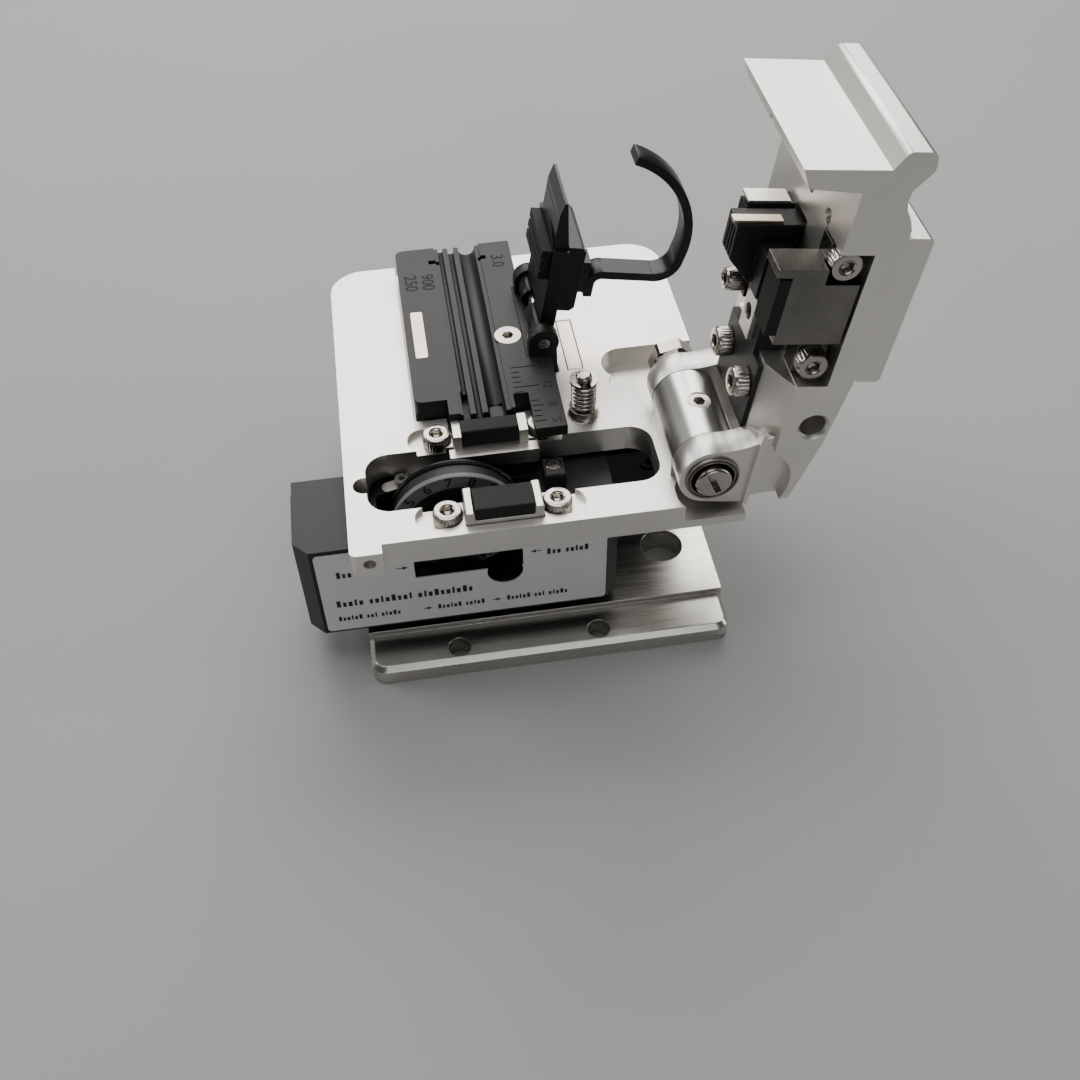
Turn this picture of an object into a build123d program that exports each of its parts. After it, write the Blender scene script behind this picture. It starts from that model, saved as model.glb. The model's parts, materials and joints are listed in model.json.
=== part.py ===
"""Optical fibre cleaver: base, sliding blade carriage, fibre holder with lid, and press arm.

Everything is drawn in plate coordinates (millimetres): x runs to the right and y to the back
from the front left corner of the top plate, z = 0 is the upper face of that plate.
The last lines move every piece so the origin is the middle of the base plate underside.
The rest pose has the press arm open, the holder lid open and the blade carriage at the left.
"""
import math
import os

from build123d import *

# ---------------------------------------------------------------- driving dimensions
PLATE_W = 50.0            # top plate, left to right
PLATE_D = 56.0            # top plate, front to back
PLATE_T = 4.0             # top plate thickness
BASE_BOTTOM = -27.0       # underside of the base plate
BASE_FLOOR = -23.0        # raised floor of the base plate
FLANGE_TOP = -24.0        # top of the front flange of the base plate
BASE_FRONT = -1.3         # front edge of the flange
BASE_BACK = 54.7          # back edge of the base plate
STEP_Y = 4.7              # flange to floor step
FLANGE_HOLES = ((12.25, 1.1), (31.65, 1.1))
FLANGE_HOLE_R = 1.55
FLOOR_HOLES = ((13.4, 8.3), (43.3, 13.9))
FLOOR_HOLE_R = 3.0

BLADE_Y = 10.4            # plane in which the fibre is cut
BLADE_X = 13.8            # blade axis, carriage at the left end of its travel
BLADE_Z = -6.2
BLADE_R = 8.75
DIAL_R = 8.5

HINGE_X = 45.5            # press arm hinge axis, parallel to y
HINGE_Z = 3.0
ARM_OPEN = 97.25          # arm angle in the rest pose, measured from flat and closed
BARREL_R = 4.15
AXLE_R = 2.0
BUSH_BORE_R = 2.05
BUSH_R = 3.42
EAR_BORE_R = 3.45

LID_X = 28.6              # holder lid hinge axis, parallel to y
LID_Z = 5.0
LID_OPEN = 100.4          # lid angle in the rest pose, measured from flat and closed
LID_PIN_R = 0.8

PIN_X = 32.4              # sprung latch pin beside the ruler
PIN_Y = 19.0
PIN_R = 1.1

M2_HEAD_R = 1.88
M2_HEAD_H = 2.0
M2_R = 0.98
FIT = 0.05                # gap between pieces that only locate each other

PARTS = {}


# ---------------------------------------------------------------- small helpers
def box(x0, x1, y0, y1, z0, z1):
    """A box between two corners."""
    middle = Pos((x0 + x1) / 2, (y0 + y1) / 2, (z0 + z1) / 2)
    return middle * Box(x1 - x0, y1 - y0, z1 - z0)


def rod_z(x, y, radius, z0, z1):
    """A cylinder standing along z."""
    return Pos(x, y, (z0 + z1) / 2) * Cylinder(radius, z1 - z0)


def rod_y(x, z, radius, y0, y1):
    """A cylinder lying along y."""
    return Pos(x, (y0 + y1) / 2, z) * Rot(90, 0, 0) * Cylinder(radius, y1 - y0)


def hole_slot_z(x0, x1, y0, y1, z0, z1, radius):
    """A box with its four upright edges rounded."""
    blank = box(x0, x1, y0, y1, z0, z1)
    return fillet(blank.edges().filter_by(Axis.Z), radius)


def tilted_plane(x, z, degrees):
    """Plane whose first axis points along a flap opened by `degrees` about an axis along y.

    Flat and closed (0 degrees) the first axis points to -x. The second axis is the outer
    side of the flap. Extrusions grow toward +y.
    """
    angle = math.radians(degrees)
    along = (-math.cos(angle), 0, math.sin(angle))
    return Plane(origin=(x, 0, z), x_dir=along, z_dir=(0, 1, 0))


def flap_prism(plane, points, y0, y1):
    """Extrude a closed outline given in flap coordinates from y0 to y1."""
    outline = make_face(Polyline(*points, close=True))
    return Pos(0, y0, 0) * (plane * extrude(outline, y1 - y0))


def flap_box(plane, u0, u1, y0, y1, w0, w1):
    """A box in flap coordinates: u along the flap, w out of its outer face."""
    return flap_prism(plane, [(u0, w0), (u1, w0), (u1, w1), (u0, w1)], y0, y1)


def flap_rod_y(plane, u, w, radius, y0, y1):
    """A cylinder along y placed in flap coordinates."""
    disc = Pos(u, w) * Circle(radius)
    return Pos(0, y0, 0) * (plane * extrude(disc, y1 - y0))


def flap_point(plane, u, y, w):
    """World position of a point given in flap coordinates."""
    spot = plane.origin + plane.x_dir * u + plane.y_dir * w
    return (spot.X, y, spot.Z)


def flap_rod_w(plane, u, y, radius, w0, w1):
    """A cylinder standing on the flap, along w."""
    foot = Plane(origin=flap_point(plane, u, y, w0), z_dir=plane.y_dir)
    return foot * extrude(Circle(radius), w1 - w0)


def cap_screw(length, head_r=M2_HEAD_R, head_h=M2_HEAD_H, shank_r=M2_R, key_r=0.87, key_depth=1.1):
    """Socket head screw: head bearing face at z = 0, shank below it."""
    head = Pos(0, 0, head_h / 2) * Cylinder(head_r, head_h)
    head = chamfer(head.edges().group_by(Axis.Z)[-1], 0.12 * head_r)
    key = Pos(0, 0, head_h - key_depth) * extrude(RegularPolygon(key_r, 6), key_depth + 0.1)
    shank = Pos(0, 0, -length / 2 + 0.1) * Cylinder(shank_r, length + 0.2)
    return head + shank - key


def flat_screw(length, head_r, shank_r, head_h, key_r):
    """Countersunk screw with its flat top at z = 0."""
    head = Pos(0, 0, -head_h / 2) * Cone(shank_r, head_r, head_h)
    shank = Pos(0, 0, -length / 2) * Cylinder(shank_r, length)
    key = Pos(0, 0, -0.9) * extrude(RegularPolygon(key_r, 6), 1.0)
    return head + shank - key


def put_screw(screw, point, direction):
    """Place a screw so its head points along `direction` from `point`."""
    return Plane(origin=point, z_dir=direction) * screw


UP = (0, 0, 1)
DOWN = (0, 0, -1)
FRONT = (0, -1, 0)

# ---------------------------------------------------------------- base plate and support
base = box(0, PLATE_W, BASE_FRONT, BASE_BACK, BASE_BOTTOM, BASE_FLOOR)
base = fillet(base.edges().filter_by(Axis.Z), 2.0)
base -= box(-1, PLATE_W + 1, BASE_FRONT - 1, STEP_Y, FLANGE_TOP, BASE_FLOOR + 1)
base = chamfer(base.faces().sort_by(Axis.Y)[0].edges().filter_by(Axis.X).sort_by(Axis.Z)[-1:], 0.7)
for x, y in FLANGE_HOLES:
    base -= rod_z(x, y, FLANGE_HOLE_R, BASE_BOTTOM - 1, BASE_FLOOR + 1)
for x, y in FLOOR_HOLES:
    base -= rod_z(x, y, FLOOR_HOLE_R, BASE_BOTTOM - 1, BASE_FLOOR + 1)
BASE_SCREWS = ((8.0, 30.0), (42.0, 30.0), (8.0, 45.0), (42.0, 45.0))
base_screw = flat_screw(11.0, 2.75, 1.48, 1.6, 1.0)
base_screws = []
for x, y in BASE_SCREWS:
    base -= rod_z(x, y, 1.48 + FIT, BASE_BOTTOM - 1, BASE_FLOOR + 1)
    base -= Pos(x, y, BASE_BOTTOM + 0.8) * Cone(2.75 + FIT, 1.48 + FIT, 1.6)
    base_screws.append(put_screw(base_screw, (x, y, BASE_BOTTOM), DOWN))
PARTS["base_plate"] = base
PARTS["base_screws"] = Compound(base_screws)

support = box(2.0, 48.0, 24.6, 51.0, BASE_FLOOR, -PLATE_T)
support = fillet(support.edges().filter_by(Axis.Z), 2.0)
for x, y in BASE_SCREWS:
    support -= rod_z(x, y, 1.48 + FIT, BASE_FLOOR - 1, BASE_BOTTOM + 11.3)
PLATE_SCREWS = ((14.0, 27.5), (14.0, 48.0), (24.3, 48.0))
for x, y in PLATE_SCREWS:
    support -= rod_z(x, y, 1.48 + FIT, -PLATE_T - 9.0, -PLATE_T + 1)

rail = box(1.0, 48.0, 20.6, 24.6, -15.0, -10.0)
RAIL_SCREWS_X = (5.0, 17.5, 30.0, 42.5)
rail_screws = []
rail_screw = cap_screw(5.5, 1.5, 1.5, 0.78, 0.75, 0.8)
for x in RAIL_SCREWS_X:
    rail -= rod_y(x, -12.5, 1.5 + FIT, 19.0, 22.5)
    rail -= rod_y(x, -12.5, 0.78 + FIT, 19.0, 26.0)
    support -= rod_y(x, -12.5, 0.78 + FIT, 24.0, 28.6)
    rail_screws.append(put_screw(rail_screw, (x, 22.5, -12.5), FRONT))
PARTS["rear_support"] = support
PARTS["linear_rail"] = rail
PARTS["rail_screws"] = Compound(rail_screws)

# ---------------------------------------------------------------- top plate
plate = box(0, PLATE_W, 0, PLATE_D, -PLATE_T, 0)
plate = fillet(plate.edges().filter_by(Axis.Z).group_by(Axis.Y)[-1], 5.0)
boss = box(0, 4.0, -1.5, 1.0, -PLATE_T, 0)
boss = fillet(boss.edges().filter_by(Axis.Z).sort_by(Axis.X)[:1], 0.8)
plate += boss
plate -= hole_slot_z(2.75, 40.5, 5.35, 15.55, -PLATE_T - 1, 1, 3.0)
plate -= rod_z(2.45, BLADE_Y, 1.4, -PLATE_T - 1, 1)

PAD_SCREWS = ((12.5, 3.4), (26.35, 3.4), (12.5, 17.45), (26.35, 17.45))
SCREW_SEAT = -0.9
NOTCHES = (
    (8.4, 14.5, 1.3, 5.6),
    (24.2, 30.0, 1.3, 5.6),
    (8.6, 14.5, 15.3, 19.6),
    (24.2, 30.0, 15.3, 19.6),
)
for x0, x1, y0, y1 in NOTCHES:
    plate -= hole_slot_z(x0, x1, y0, y1, SCREW_SEAT, 1, 2.05)
for x, y in PAD_SCREWS:
    plate -= rod_z(x, y, M2_R + FIT, -PLATE_T - 1, 1)

# seats for the two pad frames and the pocket under the fibre holder
FRONT_SEAT_Z = -1.0
FRONT_PAD_Y = 1.3
plate -= box(14.5, 24.5, FRONT_PAD_Y - 0.1, 5.4, FRONT_SEAT_Z, 1)
plate -= box(14.5, 24.5, 15.0, 18.5, -2.5, 1)
POCKET_Z = -1.5
HOLDER_OUTLINE = [
    (10.15, 55.8), (10.15, 21.5), (14.5, 21.5), (14.5, 18.55), (23.3, 18.55), (23.3, 21.2),
    (29.45, 21.2), (29.45, 28.2), (30.4, 28.2), (30.4, 44.4), (27.3, 44.4), (27.3, 55.8),
]


def holder_blank(grow, z0, z1):
    """The fibre holder outline, grown on every side, as a block."""
    face = make_face(Polyline(*HOLDER_OUTLINE, close=True))
    if grow:
        face = offset(face, amount=grow)
    return Pos(0, 0, z0) * extrude(face, z1 - z0)


plate -= holder_blank(0.3, POCKET_Z, 1)
for x, y in PLATE_SCREWS:
    plate -= rod_z(x, y, 1.48 + FIT, -PLATE_T - 1, 1)
    plate -= Pos(x, y, POCKET_Z - 0.8) * Cone(1.48 + FIT, 2.75 + FIT, 1.6)
HOLDER_SCREW = (24.25, 33.5)
plate -= rod_z(*HOLDER_SCREW, 1.25 + FIT, -PLATE_T - 1, 1)

# recesses beside and behind the arm hinge
RECESS_Z = -2.7
recess_front = box(41.3, 51, -1, 5.75, RECESS_Z, 1)
recess_front = fillet(recess_front.edges().filter_by(Axis.Z).group_by(Axis.X)[0], 2.9)
plate -= recess_front
plate -= box(44.2, 51, -1, 4.0, RECESS_Z, 1)
recess_back = box(36.7, 51, 25.2, 31.6, RECESS_Z, 1)
recess_back = fillet(recess_back.edges().filter_by(Axis.Z).group_by(Axis.X)[0], 3.0)
plate -= recess_back
plate -= box(40.9, 51, 17.3, 26.0, RECESS_Z, 1)
plate -= rod_z(42.2, 23.6, 5.3, -0.4, 1)
plate -= rod_z(PIN_X, PIN_Y, 2.15, -PLATE_T - 1, 1)
MAGNET_X0 = 31.8
plate -= box(MAGNET_X0, MAGNET_X0 + 2.3, 28.1, 39.2, -2.0, 1)
plate -= rod_y(2.3, -1.75, 0.8, -3, 3.0)

BARREL_SCREWS = ((45.5, 8.3), (45.5, 14.6))
for x, y in BARREL_SCREWS:
    plate -= rod_z(x, y, 1.25 + FIT, -PLATE_T - 1, 1)
    plate -= Pos(x, y, -PLATE_T + 0.6) * Cone(2.3 + FIT, 1.25 + FIT, 1.2)
PARTS["top_plate"] = plate
plate_screw = flat_screw(8.0, 2.75, 1.48, 1.6, 1.0)
PARTS["plate_screws"] = Compound([put_screw(plate_screw, (x, y, POCKET_Z), UP) for x, y in PLATE_SCREWS])
plate_magnet = box(MAGNET_X0 + FIT, MAGNET_X0 + 2.3 - FIT, 28.15, 39.15, -2.0, -0.03)
PARTS["plate_magnet"] = chamfer(plate_magnet.edges().group_by(Axis.Z)[-1], 0.12)

# ---------------------------------------------------------------- fibre pads on the plate
frame = box(14.6, 24.4, FRONT_PAD_Y, 5.9, FRONT_SEAT_Z, 2.0)
channel = box(15.75, 23.25, 0, 7.0, 0.65, 3.0)
frame -= fillet(channel.edges().filter_by(Axis.Y).group_by(Axis.Z)[0], 0.4)
PARTS["front_pad_frame"] = chamfer(frame.edges().filter_by(Axis.Y).group_by(Axis.Z)[-1], 0.15)
pad = box(15.8, 23.2, FRONT_PAD_Y + 0.05, 5.35, 0.7, 2.5)
pad = fillet(pad.edges().filter_by(Axis.Y).group_by(Axis.Z)[0], 0.42)
PARTS["front_pad_rubber"] = fillet(pad.edges().filter_by(Axis.X).group_by(Axis.Z)[-1], 0.3)

rear_frame = box(14.6, 24.4, 15.1, 18.4, -2.5, 2.0)
rear_frame += box(13.9, 25.6, 13.4, 15.4, -2.3, 0.0)
rear_frame -= box(15.65, 23.25, 15.05, 19.0, 0.0, 3.0)
rear_frame -= box(13.5, 14.55, 15.05, 16.0, -3, 1.0)
rear_frame -= box(24.45, 26, 15.05, 16.0, -3, 1.0)
PARTS["rear_pad_frame"] = rear_frame
pad = box(15.7, 23.2, 15.4, 17.9, 0.0, 2.5)
PARTS["rear_pad_rubber"] = fillet(pad.edges().filter_by(Axis.X).group_by(Axis.Z)[-1], 0.3)
pad_screw = cap_screw(3.0)
PARTS["pad_screws"] = Compound([put_screw(pad_screw, (x, y, SCREW_SEAT), UP) for x, y in PAD_SCREWS])

# ---------------------------------------------------------------- fibre holder
HOLDER_Z = 3.0
holder = holder_blank(0, POCKET_Z, HOLDER_Z)
holder += box(25.3, 29.45, 14.0, 21.4, 1.4, HOLDER_Z)
holder -= box(23.25, 25.2, 18.0, 20.9, 1.9, 4)
holder = fillet(holder.edges().filter_by(Axis.Z).group_by(Axis.X)[0], 1.2)
holder -= box(16.0, 22.7, 17.0, 57.0, HOLDER_Z - 0.3, HOLDER_Z + 1)
FIBRE_CHANNELS = ((16.9, 0.45, 0.55), (18.45, 0.62, 0.75), (20.85, 1.25, 0.55))
for x, radius, sink in FIBRE_CHANNELS:
    holder -= rod_y(x, HOLDER_Z - sink, radius, 17.0, 57.0)
for x0, x1, y0, y1 in ((16.35, 17.3, 17.0, 23.2), (19.95, 21.75, 17.0, 21.4)):
    holder -= box(x0, x1, y0, y1, HOLDER_Z - 1.9, HOLDER_Z + 1)
for x0, x1 in ((14.9, 16.5), (22.3, 23.5)):
    holder -= box(x0, x1, 51.8, 52.7, HOLDER_Z - 0.9, HOLDER_Z + 1)
TICK_X0 = 25.4
for number in range(5, 17):
    y = 15.4 + (number - 5) * 1.0
    long_tick = number in (5, 8, 12, 16)
    x0 = TICK_X0 if number < 10 else 23.6
    x1 = 27.0 if long_tick else x0 + 1.1
    holder -= box(x0, x1, y - 0.09, y + 0.09, HOLDER_Z - 0.12, HOLDER_Z + 1)
HOLDER_MAGNET = (11.1, 12.95, 30.6, 40.9)
x0, x1, y0, y1 = HOLDER_MAGNET
holder -= hole_slot_z(x0, x1, y0, y1, 1.0, 4.0, 0.3)
PARTS["holder_magnet"] = hole_slot_z(x0 + FIT, x1 - FIT, y0 + FIT, y1 - FIT, 1.0, HOLDER_Z - FIT, 0.3)
holder -= rod_z(*HOLDER_SCREW, 1.25 + FIT, -5, 4)
holder -= Pos(*HOLDER_SCREW, HOLDER_Z - 0.55) * Cone(1.25 + FIT, 1.85 + FIT, 1.1)
for x, y in PLATE_SCREWS:
    holder -= rod_z(x, y, 2.9, POCKET_Z - 1, POCKET_Z + 0.1)
holder -= box(26.2, 30.45, 28.25, 44.25, 0.95, 4)
PARTS["fibre_holder"] = holder
holder_screw = flat_screw(6.8, 1.85, 1.25, 1.1, 0.85)
PARTS["holder_screw"] = put_screw(holder_screw, (*HOLDER_SCREW, HOLDER_Z), UP)

# ---------------------------------------------------------------- lid and its hinge
bracket = box(26.25, 30.4, 28.3, 44.2, 1.0, HOLDER_Z)
for y0, y1 in ((28.3, 30.3), (42.2, 44.2)):
    bracket += box(LID_X - 2.1, LID_X + 1.8, y0, y1, HOLDER_Z - 0.5, LID_Z)
    bracket += rod_y(LID_X, LID_Z, 2.1, y0, y1)
bracket -= rod_y(LID_X, LID_Z, LID_PIN_R + 0.02, 28.0, 44.5)
PARTS["lid_bracket"] = bracket
PARTS["lid_hinge_pin"] = rod_y(LID_X, LID_Z, LID_PIN_R, 28.2, 44.3)

lid_plane = tilted_plane(LID_X, LID_Z, LID_OPEN)
lid = flap_rod_y(lid_plane, 0, 0, 1.6, 30.4, 35.6)
lid += flap_rod_y(lid_plane, 0, 0, 1.6, 38.4, 42.1)
lid += flap_box(lid_plane, 0, 2.4, 30.4, 35.6, -0.6, 1.5)
lid += flap_box(lid_plane, 0, 2.4, 38.4, 42.1, -0.6, 1.5)
lid += flap_box(lid_plane, 2.2, 13.3, 30.4, 42.1, -0.6, 1.5)
lid_tip = [(13.2, -0.6), (18.2, -0.6), (20.0, -0.2), (20.0, 0.2), (13.2, 1.5)]
lid += flap_prism(lid_plane, lid_tip, 31.0, 40.6)
lid -= rod_y(LID_X, LID_Z, LID_PIN_R + 0.04, 30.0, 43.0)
LID_INSERT = (15.2, 17.2, 31.3, 40.3)
u0, u1, y0, y1 = LID_INSERT
lid -= flap_box(lid_plane, u0, u1, y0, y1, -1.0, 0.4)
PARTS["lid_body"] = lid
PARTS["lid_steel_insert"] = flap_box(lid_plane, u0 + FIT, u1 - FIT, y0 + FIT, y1 - FIT, -0.62, 0.4)
lid_pad = flap_box(lid_plane, 8.4, 12.8, 31.2, 41.4, -1.95, -0.6)
for u in (9.6, 11.1):
    lid_pad -= flap_box(lid_plane, u, u + 0.5, 31.0, 41.6, -2.2, -1.5)
PARTS["lid_pressing_pad"] = lid_pad
cover_outline = [(3.6, 1.5), (13.6, 1.5), (13.6, 3.3), (13.0, 3.9), (4.2, 3.9), (3.6, 3.3)]
cover = flap_prism(lid_plane, cover_outline, 31.0, 41.4)

HOOK_Y0 = 34.0
HOOK_Y1 = 37.4
HOOK_T = 1.2
cover += flap_box(lid_plane, 4.6, 9.4, HOOK_Y0, HOOK_Y1, 3.8, 5.9)
hook_lines = [
    Line((3.9, 6.3), (6.0, 6.3)),
    ThreePointArc((6.0, 6.3), (7.1, 6.8), (7.5, 7.9)),
    Line((7.5, 7.9), (7.5, 14.6)),
    ThreePointArc((7.5, 14.6), (8.3, 17.0), (10.6, 18.0)),
    ThreePointArc((10.6, 18.0), (19.2, 16.6), (24.9, 8.7)),
]
hook_path = Wire(hook_lines)
hook_face = trace(hook_path, HOOK_T)
hook = Pos(0, HOOK_Y0, 0) * (lid_plane * extrude(hook_face, HOOK_Y1 - HOOK_Y0))
PARTS["lid_hook"] = cover + hook

# ---------------------------------------------------------------- sprung latch pin
collar = rod_z(PIN_X, PIN_Y, 2.1, -PLATE_T, 0.0) + rod_z(PIN_X, PIN_Y, 1.95, -0.1, 1.5)
collar -= rod_z(PIN_X, PIN_Y, PIN_R + FIT, -PLATE_T - 1, 2)
PARTS["latch_collar"] = collar
latch = rod_z(PIN_X, PIN_Y, PIN_R, -PLATE_T - 0.2, 7.0)
latch = fillet(latch.edges().group_by(Axis.Z)[-1], 0.5)
latch -= rod_z(PIN_X, PIN_Y, 2.0, 5.7, 6.2) - rod_z(PIN_X, PIN_Y, 0.8, 5.6, 6.3)
PARTS["latch_pin"] = latch
clip = rod_z(PIN_X, PIN_Y, 1.85, 5.72, 6.18) - rod_z(PIN_X, PIN_Y, 0.8, 5.6, 6.3)
clip -= box(PIN_X - 0.7, PIN_X + 0.7, PIN_Y - 3, PIN_Y, 5.6, 6.3)
PARTS["latch_clip"] = clip
SPRING_Z0 = 1.75
SPRING_Z1 = 5.46
coil = Helix(pitch=(SPRING_Z1 - SPRING_Z0) / 3.5, height=SPRING_Z1 - SPRING_Z0, radius=1.55)
wire_face = Plane(origin=coil @ 0, z_dir=coil % 0) * Circle(0.2)
spring = sweep(wire_face, path=coil)
PARTS["latch_spring"] = Pos(PIN_X, PIN_Y, SPRING_Z0) * spring

# ---------------------------------------------------------------- blade carriage
CARRIAGE_TOP = -4.5
CARRIAGE_BOTTOM = -20.9
outline = [(-7.5, 6.0), (-5.6, 4.0), (33.1, 4.0), (34.8, 5.8), (34.8, 17.8), (-7.5, 17.8)]
carriage = Pos(0, 0, CARRIAGE_BOTTOM) * extrude(
    make_face(Polyline(*outline, close=True)), CARRIAGE_TOP - CARRIAGE_BOTTOM
)
carriage -= hole_slot_z(3.6, 24.4, 5.4, 13.0, -16.6, 0, 1.0)
window = box(7.5, 21.8, 3.0, 6.0, -11.6, -5.9) + rod_y(19.35, -12.4, 2.4, 3.0, 6.0)
carriage -= window
carriage -= box(16.0, 36.0, 16.9, 19.0, -9.0, 0)
carriage -= box(-8.0, 1.5, 14.6, 19.0, -5.2, 0)
carriage -= rod_y(BLADE_X, BLADE_Z, 1.55, 12.9, 16.0)
BLOCK_SCREWS = ((5.0, -12.5), (23.0, -12.5))
for x, z in BLOCK_SCREWS:
    carriage -= rod_y(x, z, 1.03, 13.6, 19.0)
    carriage -= rod_y(x, z, 1.95, 12.0, 15.6)

label = box(-5.1, 33.0, 3.85, 4.0, -20.4, -5.2)
label -= window
label_ends = label.edges().filter_by(Axis.Y).group_by(Axis.X)
label = fillet(label_ends[0] + label_ends[-1], 0.6)
PARTS["carriage_label"] = label

block = box(2.5, 25.5, 17.8, 23.6, -17.0, -8.4)
block -= box(1.0, 27.0, 20.55, 25.0, -15.05, -9.95)
for x, z in BLOCK_SCREWS:
    block -= rod_y(x, z, 1.03, 17.0, 20.4)
PARTS["rail_bearing_block"] = block
block_screw = cap_screw(4.5)
PARTS["bearing_block_screws"] = Compound(
    [put_screw(block_screw, (x, 15.6, z), FRONT) for x, z in BLOCK_SCREWS]
)

index_block = box(25.8, 28.5, 9.4, 12.7, CARRIAGE_TOP, -1.2)
index_block = chamfer(index_block.edges().group_by(Axis.Z)[-1], 0.2)
index_block -= rod_z(27.1, 11.4, 0.63, -6.0, 0)
carriage -= rod_z(27.1, 11.4, 0.63, -7.5, 0)
index_block -= rod_z(27.1, 11.4, 1.15, -2.0, 0)
PARTS["index_block"] = index_block
small_screw = cap_screw(2.4, 1.05, 0.75, 0.6, 0.45, 0.4)

LEAF_SCREW = (7.3, 14.3)
leaf = Pos(0, 0, CARRIAGE_TOP) * extrude(
    Pos(7.9, 14.5) * Rot(0, 0, 16.0) * SlotOverall(7.0, 1.7), 0.4
)
leaf -= rod_z(*LEAF_SCREW, 0.63, -6.0, 0)
PARTS["detent_spring_leaf"] = leaf
carriage -= rod_z(*LEAF_SCREW, 0.63, -7.0, 0)
PARTS["blade_carriage"] = carriage
PARTS["carriage_small_screws"] = Compound(
    [put_screw(small_screw, (27.1, 11.4, -2.0), UP), put_screw(small_screw, (*LEAF_SCREW, -4.1), UP)]
)

# ---------------------------------------------------------------- blade and number dial
DRUM_R = 8.3
FLANGE_R = 6.0            # stays under the anvil when the arm is closed
shaft = rod_y(BLADE_X, BLADE_Z, 1.5, 5.7, 15.8) + rod_y(BLADE_X, BLADE_Z, 2.6, 10.7, 12.9)
shaft += rod_y(BLADE_X, BLADE_Z, DRUM_R, 10.7, 11.05) + rod_y(BLADE_X, BLADE_Z, FLANGE_R, 11.0, 12.2)
hub = rod_y(BLADE_X, BLADE_Z, 3.8, 5.6, 7.35) - rod_y(BLADE_X, BLADE_Z, 1.5 + FIT, 5.0, 8.0)
for slot in (0, 90):
    turn = Pos(BLADE_X, 0, BLADE_Z) * Rot(0, slot, 0)
    hub -= turn * box(-3.0, 3.0, 5.0, 6.1, -0.35, 0.35)
PARTS["blade_clamp_nut"] = hub
PARTS["blade_shaft"] = shaft
dial = rod_y(BLADE_X, BLADE_Z, DIAL_R, 7.7, 8.5) - rod_y(BLADE_X, BLADE_Z, 6.6, 7.0, 9.1)
PARTS["dial_ring"] = dial
dial_disc = rod_y(BLADE_X, BLADE_Z, DRUM_R, 8.5, 10.1) + rod_y(BLADE_X, BLADE_Z, 3.6, 7.4, 8.6)
dial_disc -= rod_y(BLADE_X, BLADE_Z, 1.5 + FIT, 7.0, 10.5)
PARTS["dial_disc"] = dial_disc
blade = rod_y(BLADE_X, BLADE_Z, BLADE_R - 0.3, 10.15, 10.65)
bevel = Cone(BLADE_R, BLADE_R - 0.25, 0.25)
blade += Pos(BLADE_X, 10.525, BLADE_Z) * Rot(-90, 0, 0) * bevel
blade += Pos(BLADE_X, 10.275, BLADE_Z) * Rot(90, 0, 0) * bevel
blade -= rod_y(BLADE_X, BLADE_Z, 1.5 + FIT, 9.0, 12.0)
PARTS["blade_disc"] = blade

# ---------------------------------------------------------------- arm hinge on the plate
barrel = rod_y(HINGE_X, HINGE_Z, BARREL_R, 5.4, 17.3)
barrel += box(HINGE_X - BARREL_R, HINGE_X + BARREL_R, 5.8, 16.9, 0, HINGE_Z)
barrel -= box(HINGE_X - 6, HINGE_X + 6, 5, 20, -3, 0)
barrel -= rod_y(HINGE_X, HINGE_Z, AXLE_R + 0.02, 5.0, 20.0)
for x, y in BARREL_SCREWS:
    barrel -= rod_z(x, y, 1.25 + FIT, -1, 1.0)
set_angle = Plane(origin=(HINGE_X, 11.4, HINGE_Z), z_dir=(0.10, 0, 1))
barrel -= set_angle * extrude(Circle(1.52), 6.0)
PARTS["hinge_barrel"] = barrel
barrel_screw = flat_screw(4.7, 2.3, 1.25, 1.2, 0.85)
PARTS["barrel_screws"] = Compound(
    [put_screw(barrel_screw, (x, y, -PLATE_T), DOWN) for x, y in BARREL_SCREWS]
)
set_screw = set_angle * (Pos(0, 0, 2.05) * extrude(Circle(1.5), 1.95))
set_screw -= set_angle * (Pos(0, 0, 3.0) * extrude(RegularPolygon(0.85, 6), 2.0))
PARTS["barrel_set_screw"] = set_screw

axle = rod_y(HINGE_X, HINGE_Z, 2.3, 0.4, 3.2)
axle = chamfer(axle.edges().group_by(Axis.Y)[0], 0.25)
axle += rod_y(HINGE_X, HINGE_Z, AXLE_R, 3.0, 20.85) + rod_y(HINGE_X, HINGE_Z, 1.48, 20.6, 25.9)
axle -= Pos(HINGE_X, 0.8, HINGE_Z) * Rot(0, -24, 0) * Box(0.75, 1.4, 3.4)
PARTS["hinge_axle"] = axle
nuts = []
for y, turn in ((20.95, 0), (23.2, 17)):
    nut_face = Plane(origin=(HINGE_X, y, HINGE_Z), z_dir=(0, 1, 0))
    nut = nut_face * (Rot(0, 0, turn) * extrude(RegularPolygon(3.2, 6), 2.1))
    nut = nut & rod_y(HINGE_X, HINGE_Z, 3.08, 20.0, 28.0)
    nuts.append(nut - rod_y(HINGE_X, HINGE_Z, 1.52, 20.0, 28.0))
PARTS["hinge_nut"] = Compound(nuts)

# ---------------------------------------------------------------- press arm
arm_plane = tilted_plane(HINGE_X, HINGE_Z, ARM_OPEN)
ARM_Y0 = 1.0
ARM_Y1 = 23.9
arm_outline = [
    (-3.9, 6.8), (-3.5, 10.7), (6.0, 12.7), (15.5, 13.7), (36.2, 13.7), (37.6, 13.1), (38.6, 12.4),
    (39.6, 12.1), (42.4, 12.2), (43.2, 9.2), (43.1, -0.15), (40.9, 0.95), (40.5, 6.8),
]
arm = flap_prism(arm_plane, arm_outline, ARM_Y0, ARM_Y1)
lip_outline = [(41.0, 10.0), (43.2, 9.2), (45.25, 10.45), (45.25, 13.5), (43.2, 13.9), (40.6, 12.0)]
lip = make_face(Polyline(*lip_outline, close=True))
lip_corners = [v for v in lip.vertices() if v.X > 42.5 and v.Y > 10.0]
lip = fillet(lip_corners, 0.9)
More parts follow.
